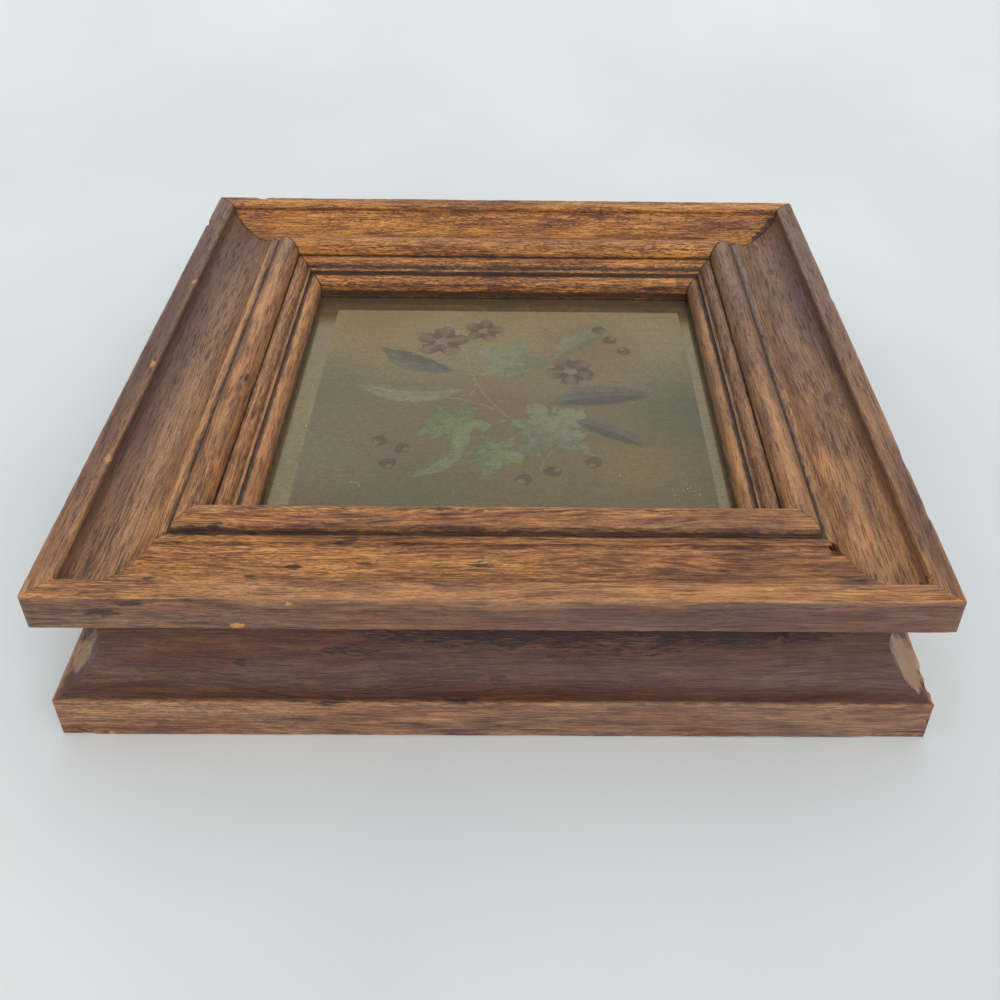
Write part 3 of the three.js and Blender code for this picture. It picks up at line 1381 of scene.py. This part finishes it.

# Marks by rail: kind, place along, inset, height, half length, half width, then depth and power. The evenly
# darkened marks are painted shade on walls that face away from the light.
NEAR_MARKS = (
    Mark(WORN, -30, 3.2, 56.6, 150, 5.5, power=0.45),
    Mark(WORN, -70, 15, 48, 60, 6, power=0.5),
    Mark(STAIN, -105.5, 0, 51.6, 6.5, 2.6, power=1.15),
    Mark(STAIN, -97, 0, 55, 6.5, 1.5, power=1.1),
    Mark(CHIP, -69.7, 0, 46.5, 2.6, 1.6, 0.3),
    Mark(CHIP, -54.7, 0, 55.1, 1.3, 1.2, 0.2),
    Mark(DENT, -75.2, 33.2, 53.7, 1.0, 2.6, 0.7),
    Mark(DENT, 99, 27.5, 50.5, 2.2, 2.5, 2.4),
    Mark(STAIN, 99, 27.5, 50.5, 2.6, 2.6),
    Mark(DENT, 83, 12, 29, 1.4, 4.0, 1.5),
    Mark(STAIN, 83, 12, 31, 2.0, 4.0),
    Mark(STAIN, -94, 7, 56.6, 3, 2.2),
    Mark(STAIN, -82, 32.2, 52.7, 3, 2.0),
    Mark(STAIN, -71.9, 30.9, 51.2, 3, 1.6),
    Mark(STAIN, -69.8, 18, 46.8, 3.5, 1.8),
    Mark(STAIN, -58.2, 21.5, 46.9, 3, 1.5),
    Mark(CHIP, 74.3, 4.7, 56.6, 1.2, 0.8, 0.2),
    Mark(STAIN, -44, 28.7, 51.2, 6, 1.8),
    Mark(STAIN, -4.7, 22.8, 47.3, 5, 1.5),
    Mark(STAIN, -37, 22.6, 47.2, 4, 1.3),
    Mark(STAIN, -98, 18, 46.8, 3, 2.0),
    Mark(STAIN, -74.6, 9.6, 20, 3, 1.6),
    Mark(STAIN, -42.6, 10.5, 24, 16, 2.6),
    Mark(STAIN, 8, 12, 30, 70, 7.5, power=1.0),
    Mark(STAIN, 62, 12, 31, 50, 7.0, power=1.1),
    Mark(STAIN, 30, 12, 24, 36, 4.0, power=0.7),
    Mark(DENT, 125, -0.6, 7, 3.5, 3.2, 1.3),
    Mark(DENT, 120, -0.6, 15, 4.0, 2.2, 0.8),
    Mark(DENT, -126, -0.6, 0.5, 5, 2.6, 1.2),
    Mark(PAINTED_SHADE, 50, 0, 50, 90, 7, power=0.9),
    Mark(DENT, -104, 29.5, 51, 1.6, 2.2, 1.6),
    Mark(STAIN, -104, 29.5, 51, 2.2, 2.6),
    Mark(STAIN, 1, 6.6, 17, 4, 2.0),
    Mark(STAIN, -47.5, 0, 14.5, 6, 1.2),
    Mark(STAIN, -10, 1, 14.7, 7, 1.3),
    Mark(CHIP, -112.6, -0.6, 1, 1.5, 1.0, 0.2),
    Mark(STAIN, -123, -0.6, 1, 6, 2.2, 0.8),
    Mark(DENT, 122, -0.6, 0.5, 14, 3.0, 1.6),
    Mark(WORN, -84, 37, 56.3, 7, 3.2, power=0.8),
    Mark(STAIN, -88.5, 31.5, 51.6, 4, 2.2),
    Mark(PAINTED_SHADE, 103, 17.5, 46.8, 8, 6),
    Mark(PAINTED_SHADE, 108.5, 12, 49.0, 6, 4.5),
    Mark(STAIN, 104.5, 17.0, 46.9, 2.6, 2.6, power=0.5),
    Mark(STAIN, 111, 9.5, 51.2, 3, 2, power=0.7),
    Mark(STAIN, 2, 36.9, 56.0, 130, 1.3, power=0.55),
    Mark(PAINTED_SHADE, 60, 33.8, 54.4, 50, 2.6, power=0.7),
    Mark(PAINTED_SHADE, -46, 33.8, 54.4, 30, 2.6, power=0.6),
)
RIGHT_MARKS = (
    Mark(CHIP, -110.8, 7.3, 55.5, 2.0, 1.4, 0.4),
    # Painted reflection on the lower side hollow at the near end.
    Mark(PAINTED_REFLECTION, -114.7, 3.7, 15.1, 1.6, 1.0, power=3),
    Mark(PAINTED_REFLECTION, -104.4, 4, 15.2, 12, 6, power=1.1),
    Mark(STAIN, -100, 7.5, 16.5, 8, 1.4, power=0.9),
    Mark(PAINTED_SHADE, -70, 13, 49, 40, 4, power=0.4),
    Mark(PAINTED_SHADE, 60, 10, 50.5, 70, 6, power=0.9),
    Mark(PAINTED_SHADE, 0, 8.0, 53.8, 190, 3.4, power=1.1),
    Mark(PAINTED_SHADE, -85, 3, 56.6, 60, 6, power=1.1),
    Mark(STAIN, 116, 9.5, 51.6, 3, 3.0, power=1.2),
    Mark(WORN, -40, 37, 56.5, 50, 2, power=0.5),
    Mark(DENT, -118, -0.6, 10, 3, 5, 1.2),
    Mark(DENT, -113, -0.3, 14.5, 3, 3, 0.9),
    Mark(PAINTED_SHADE, 20, 3, 56.6, 150, 5, power=0.6),
    Mark(DENT, -108, 0.5, 15, 3, 4, 0.7),
    Mark(PAINTED_SHADE, -97, 18.5, 46.7, 7, 6),
    Mark(PAINTED_SHADE, -102, 13, 48.6, 6, 4.5),
    Mark(STAIN, -101.4, 17.0, 46.9, 2.6, 3.4, power=0.55),
    Mark(STAIN, -106, 12, 49.2, 2.4, 3, power=0.5),
    Mark(STAIN, -109.6, 8.6, 51.8, 2.4, 2, power=0.8),
    Mark(WORN, 0, 48.5, 43.5, 220, 3.4, power=0.42),
    Mark(PAINTED_SHADE, 0, 33, 53, 150, 4.5, power=0.55),
    Mark(WORN, -80, 18, 47.5, 60, 12, power=0.34),
    Mark(STAIN, -63, 31, 51.6, 22, 1.6, power=0.7),
    Mark(STAIN, 20, 31, 51.6, 30, 1.5, power=0.6),
    Mark(PAINTED_SHADE, 30, 38, 55, 40, 3, power=0.7),
    Mark(STAIN, 52, 39, 54, 9, 1.6, power=0.8),
    Mark(STAIN, -83, 31.5, 52, 5, 2.5, power=0.8),
    Mark(DENT, -60, 0.5, 56.6, 6, 1.6, 0.5),
    Mark(DENT, -84, 0.5, 56.6, 4, 1.6, 0.4),
    Mark(DENT, 40, 0.5, 56.6, 5, 1.6, 0.5),
)
FAR_MARKS = (
    Mark(STAIN, -117.6, 9.0, 51.4, 3, 2.4, power=1.6),
    Mark(STAIN, -115.0, 11.6, 49.1, 3, 2.4, power=1.6),
    Mark(STAIN, -112.4, 14.2, 47.8, 3, 2.4, power=1.6),
    Mark(STAIN, -110.0, 16.6, 47.0, 3, 2.2, power=1.4),
    Mark(PAINTED_SHADE, -95, 12, 49, 30, 6, power=0.6),
    Mark(DENT, 108, 0.5, 56.6, 2.5, 1.6, 0.8),
    Mark(STAIN, 76, 33.5, 57, 3.5, 2.0),
    Mark(PAINTED_SHADE, 116, 16, 50, 34, 13, power=0.6),
    Mark(WORN, 0, 37.5, 56.0, 220, 3.6, power=0.42),
    Mark(STAIN, 0, 41.6, 50.6, 220, 1.0, power=0.6),
    Mark(STAIN, 0, 50.0, 41.4, 220, 1.5, power=0.7),
    Mark(STAIN, -60, 39.9, 53.6, 40, 1.1, power=0.6),
    Mark(STAIN, 40, 39.9, 53.6, 50, 1.1, power=0.6),
    Mark(STAIN, -14, 33, 57, 5, 1.6, power=0.8),
)
LEFT_MARKS = (
    Mark(CHIP, 62, 6.6, 56.6, 3.0, 1.4, 0.4),
    Mark(CHIP, 10.2, 6.2, 56.6, 3.0, 1.2, 0.4),
    Mark(CHIP, -46.2, 6.9, 56.6, 2.4, 1.0, 0.3),
    Mark(DENT, -96, 0.5, 56.6, 2.5, 2.2, 1.0),
    Mark(STAIN, 16.7, 38.6, 53.9, 4, 2.6),
    Mark(STAIN, 24.3, 36.3, 54.7, 3.5, 2.0),
    Mark(STAIN, -63.5, 37.7, 54.3, 3, 1.6),
    Mark(PAINTED_SHADE, 0, 10, 50.5, 170, 7),
    Mark(PAINTED_SHADE, 0, 8.2, 53.4, 190, 4, power=1.6),
    Mark(PAINTED_SHADE, -10, 2.5, 56.6, 150, 6, power=1.2),
    Mark(PAINTED_SHADE, -100, 14, 48, 45, 10, power=0.8),
    Mark(WORN, -15, 28, 51.1, 70, 2.4, power=1.0),
    Mark(WORN, 50, 28, 51.1, 40, 2.0, power=0.8),
    Mark(WORN, -20, 36, 56.5, 90, 3, power=0.45),
    Mark(WORN, 0, 48.5, 43.5, 220, 3.4, power=0.45),
    Mark(STAIN, 97.0, 1.0, 15.0, 3.0, 1.6, power=0.8),
    Mark(STAIN, 102, 6.3, 17.0, 7.0, 1.2, power=0.8),
    Mark(CHIP, 104.5, 1.2, 15.4, 1.4, 1.0),
    Mark(CHIP, 100.8, 4.2, 15.6, 1.2, 0.8),
    # Painted reflection on the lower side hollow at the near end.
    Mark(PAINTED_REFLECTION, 102.5, 3.5, 15.2, 10, 5, power=0.75),
    # Golden spot at the ridge's end by the mitre: a painted highlight.
    Mark(CHIP, 85.6, 34, 55.2, 1.6, 1.6),
    Mark(DENT, 90.2, 30.1, 51.1, 2.2, 2.2, 1.6),
    Mark(STAIN, 90.2, 30.1, 51.1, 2.6, 2.6),
    Mark(STAIN, 81.4, 37, 56.4, 1.2, 3.2, power=0.8),
)


@dataclass
class PictureFrame:
    """The four rails, with their marks."""

    moulding: Moulding
    mitre_gap: float = 0.3

    def build(self) -> list[bpy.types.Object]:
        """Builds the rails over their CAD nodes.

        Returns:
            The rails.
        """
        low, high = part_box("bottom_rail")
        proud = self.moulding.base_proud * 2
        width = (high.x - low.x) / MM - proud
        low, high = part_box("left_rail")
        height = (high.y - low.y) / MM - proud
        gap = self.mitre_gap * math.sqrt(2)
        width += gap
        height += gap
        # Near and far rails are golden, side rails dull: partly the boards' own colour, partly painted sheen.
        rails = [
            Rail(
                "bottom_rail", self.moulding, width, height / 2, 0, tone_and_sheen_ends=(-0.15, 0.3), hollow_tone_and_sheen=0.0,
                ridge_tone_and_sheen=0.05, seed=11.0, marks=NEAR_MARKS, joint_grime=(0.35, 0.35),
            ),
            Rail(
                "right_rail", self.moulding, height, width / 2, 1, tone_and_sheen_ends=(0.22, 1.15), hollow_tone_and_sheen=0.12,
                ridge_tone_and_sheen=0.0, seed=57.0, marks=RIGHT_MARKS, joint_grime=(0.35, 0.9),
            ),
            Rail(
                "top_rail", self.moulding, width, height / 2, 2, tone_and_sheen_ends=(-0.35, -0.4), hollow_tone_and_sheen=0.0,
                ridge_tone_and_sheen=0.0, seed=93.0, marks=FAR_MARKS, dirt_and_shade_strength=1.3,
            ),
            Rail(
                "left_rail", self.moulding, height, width / 2, 3, tone_and_sheen_ends=(0.9, 0.3), hollow_tone_and_sheen=0.2,
                ridge_tone_and_sheen=-0.2, seed=131.0, marks=LEFT_MARKS, joint_grime=(0.9, 0.35),
            ),
        ]
        wood = WoodFinish().make()
        pieces = []
        for rail in rails:
            piece = rail.build()
            dress(piece, wood)
            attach(piece, "root")
            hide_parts(rail.node)
            pieces.append(piece)
        return pieces


@dataclass
class Layers:
    """The plate and the board, which keep their CAD shapes."""

    plate: str = "brass_plate"
    board: str = "backing_board"

    def build(self) -> list[bpy.types.Object]:
        """Gives the two sheets their finishes.

        Returns:
            The plate and the board.
        """
        sheets = [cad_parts[self.plate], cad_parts[self.board]]
        for sheet, finish in zip(sheets, (PlateFinish(), BoardFinish())):
            dress(sheet, finish.make())
        return sheets


@dataclass
class Dust:
    """Specks and one curled fibre that lie on the plate, in millimetres."""

    count: int = 70
    seed: int = 7
    speck: float = 0.13
    across: float = 74.0
    foot: float = -66.0
    head: float = 68.0
    drift_share: float = 0.35
    drift_place: tuple[float, float] = (63.0, -52.0)
    drift_spread: tuple[float, float] = (5.0, 2.5)
    flecks: tuple[tuple[float, float, float], ...] = (
        (40.2, -44.0, 0.3), (65.8, -53.3, 0.24), (62.0, -50.4, 0.18), (-68.8, -18.0, 0.2),
        (-66.5, 12.0, 0.16),
    )
    fibre_place: tuple[float, float] = (-48.5, -50.5)
    fibre_curl: float = 2.4
    fibre_radius: float = 0.07

    def build(self) -> bpy.types.Object:
        """Scatters the specks and lays the fibre.

        Returns:
            The dust, as one piece.
        """
        low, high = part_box("brass_plate")
        top = high.z / MM
        shape = bmesh.new()
        chance = random.Random(self.seed)
        specks = list(self.flecks)
        for _ in range(self.count):
            if chance.random() < self.drift_share:
                spot = [chance.gauss(*pair) for pair in zip(self.drift_place, self.drift_spread)]
            else:
                spot = (chance.uniform(-self.across, self.across), chance.uniform(self.foot, self.head))
            specks.append((min(self.across, spot[0]), spot[1], self.speck * chance.uniform(0.45, 1.3)))
        for x, y, size in specks:
            place = Matrix.Translation((x, y, top + size * 0.4)) @ Matrix.Diagonal((1, 1, 0.5, 1))
            bmesh.ops.create_icosphere(shape, subdivisions=1, radius=size, matrix=place)
        self._fibre(shape, top)
        bmesh.ops.scale(shape, vec=(MM, MM, MM), verts=shape.verts)
        piece = as_piece(shape, "plate_dust")
        dress(piece, DustFinish().make())
        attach(piece, "root")
        return piece

    def _fibre(self, shape: bmesh.types.BMesh, top: float) -> None:
        """Spins a small disc into a curl, with closed ends.

        Args:
            shape: The dust, which the curl joins.
            top: Height of the plate's face, in millimetres.
        """
        x, y = self.fibre_place
        height = top + self.fibre_radius
        place = Matrix.Translation((x + self.fibre_curl, y, height)) @ Matrix.Rotation(math.pi / 2, 4, "X")
        made = bmesh.ops.create_circle(
            shape, segments=6, radius=self.fibre_radius, cap_ends=True, matrix=place
        )
        disc = made["verts"][0].link_faces[0]
        parts = [disc, *disc.edges, *disc.verts]
        bmesh.ops.spin(
            shape, geom=parts, cent=(x, y, height), axis=(0, 0, 1), dvec=(0, 0, 0), angle=math.radians(120),
            steps=14, use_merge=False, use_duplicate=False,
        )


@dataclass
class Studio:
    """A pale sweep, soft light and the camera at the photo's angle."""

    position: tuple[float, float, float] = (0.00545, -0.32398, 0.27297)
    pitch: float = 35.31
    yaw: float = 0.84
    roll: float = -0.97
    lens: float = 39.39
    sensor: float = 36.0
    nearest: float = 0.01
    shift: tuple[float, float] = (-0.03, -0.12)
    floor_half: float = 1.6
    sweep_start: float = 0.42
    sweep_steps: int = 24
    sweep_radius: float = 0.5
    wall_height: float = 1.2
    surround_tint: Colour = (0.93, 0.97, 1.0)
    surround_power: float = 0.56
    overhead_place: tuple[float, float, float] = (0.05, 0.25, 1.0)
    overhead_size: float = 0.9
    overhead_power: float = 1.0
    overhead_tint: Colour = (1.0, 0.98, 0.96)
    window_towards: tuple[float, float, float] = (-0.35, 1.0, -0.85)
    window_angle: float = 55.0
    window_power: float = 1.15
    window_tint: Colour = (1.0, 0.985, 0.96)

    def build(self) -> None:
        """Makes the floor, the lights and the camera."""
        self._floor()
        self._lights()
        self._camera()

    def _floor(self) -> None:
        """A floor that sweeps up into a wall behind the frame."""
        shape = bmesh.new()
        start = shape.verts.new((-self.floor_half, -self.floor_half, 0))
        front = shape.verts.new((-self.floor_half, self.sweep_start, 0))
        shape.edges.new((start, front))
        centre = (0, self.sweep_start, self.sweep_radius)
        bent = bmesh.ops.spin(
            shape, geom=[front], cent=centre, axis=(1, 0, 0), dvec=(0, 0, 0), angle=math.pi / 2,
            steps=self.sweep_steps, use_merge=False, use_duplicate=False,
        )
        top = next(item for item in bent["geom_last"] if isinstance(item, bmesh.types.BMVert))
        wall = bmesh.ops.extrude_vert_indiv(shape, verts=[top])["verts"]
        bmesh.ops.translate(shape, vec=(0, 0, self.wall_height), verts=wall)
        swept = bmesh.ops.extrude_edge_only(shape, edges=shape.edges[:])["geom"]
        moved = [item for item in swept if isinstance(item, bmesh.types.BMVert)]
        bmesh.ops.translate(shape, vec=(self.floor_half * 2, 0, 0), verts=moved)
        bmesh.ops.recalc_face_normals(shape, faces=shape.faces)
        for face in shape.faces:
            face.smooth = True
        floor = as_piece(shape, "pale_floor")
        dress(floor, SheetFinish().make())

    def _lamp(self, name: str, kind: str, power: float, tint: Colour, place: Vector, towards: Vector) -> None:
        """Adds a soft light at a place, shining one way.

        Args:
            name: The light's name.
            kind: Blender's kind of light, AREA or SUN.
            power: Its energy.
            tint: Its colour.
            place: Where it stands.
            towards: The way it shines.
        """
        light = bpy.data.lights.new(name, kind)
        light.energy = power
        light.color = tint
        if kind == "AREA":
            light.size = self.overhead_size
        else:
            light.angle = math.radians(self.window_angle)
        lamp = bpy.data.objects.new(name, light)
        aim = towards.to_track_quat("-Z", "Y").to_matrix().to_4x4()
        lamp.matrix_world = Matrix.Translation(place) @ aim
        bpy.context.scene.collection.objects.link(lamp)

    def _lights(self) -> None:
        """A broad soft light from the front, a faint one overhead and a pale surround."""
        world = bpy.data.worlds.new("pale_surround")
        world.use_nodes = True
        surround = world.node_tree.nodes["Background"].inputs
        surround["Color"].default_value = (*self.surround_tint, 1)
        surround["Strength"].default_value = self.surround_power
        bpy.context.scene.world = world
        above = Vector(self.overhead_place)
        self._lamp("overhead", "AREA", self.overhead_power, self.overhead_tint, above, -above)
        towards = Vector(self.window_towards)
        self._lamp("window", "SUN", self.window_power, self.window_tint, Vector(), towards)
        bpy.context.scene.view_settings.view_transform = "Standard"

    def _camera(self) -> None:
        """Sets the camera where the photo was taken."""
        data = bpy.data.cameras.new("photo_camera")
        data.lens = self.lens
        data.sensor_width = self.sensor
        data.shift_x, data.shift_y = self.shift
        data.clip_start = self.nearest
        camera = bpy.data.objects.new("photo_camera", data)
        turn = Matrix.Rotation(math.radians(-self.yaw), 4, "Z")
        turn = turn @ Matrix.Rotation(math.radians(90 - self.pitch), 4, "X")
        turn = turn @ Matrix.Rotation(math.radians(-self.roll), 4, "Z")
        camera.matrix_world = Matrix.Translation(self.position) @ turn
        bpy.context.scene.collection.objects.link(camera)
        bpy.context.scene.camera = camera


def main() -> None:
    """Builds the studio, the rails, the two sheets and the dust, and reports each piece."""
    logging.basicConfig(level=logging.INFO, format="%(message)s")
    Studio().build()
    low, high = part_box("bottom_rail")
    rails = PictureFrame(Moulding(depth=(high.z - low.z) / MM)).build()
    for piece in [*rails, *Layers().build(), Dust().build()]:
        LOG.info("%s: %d faces", piece.name, len(piece.data.polygons))


if __name__ == "__main__":
    main()
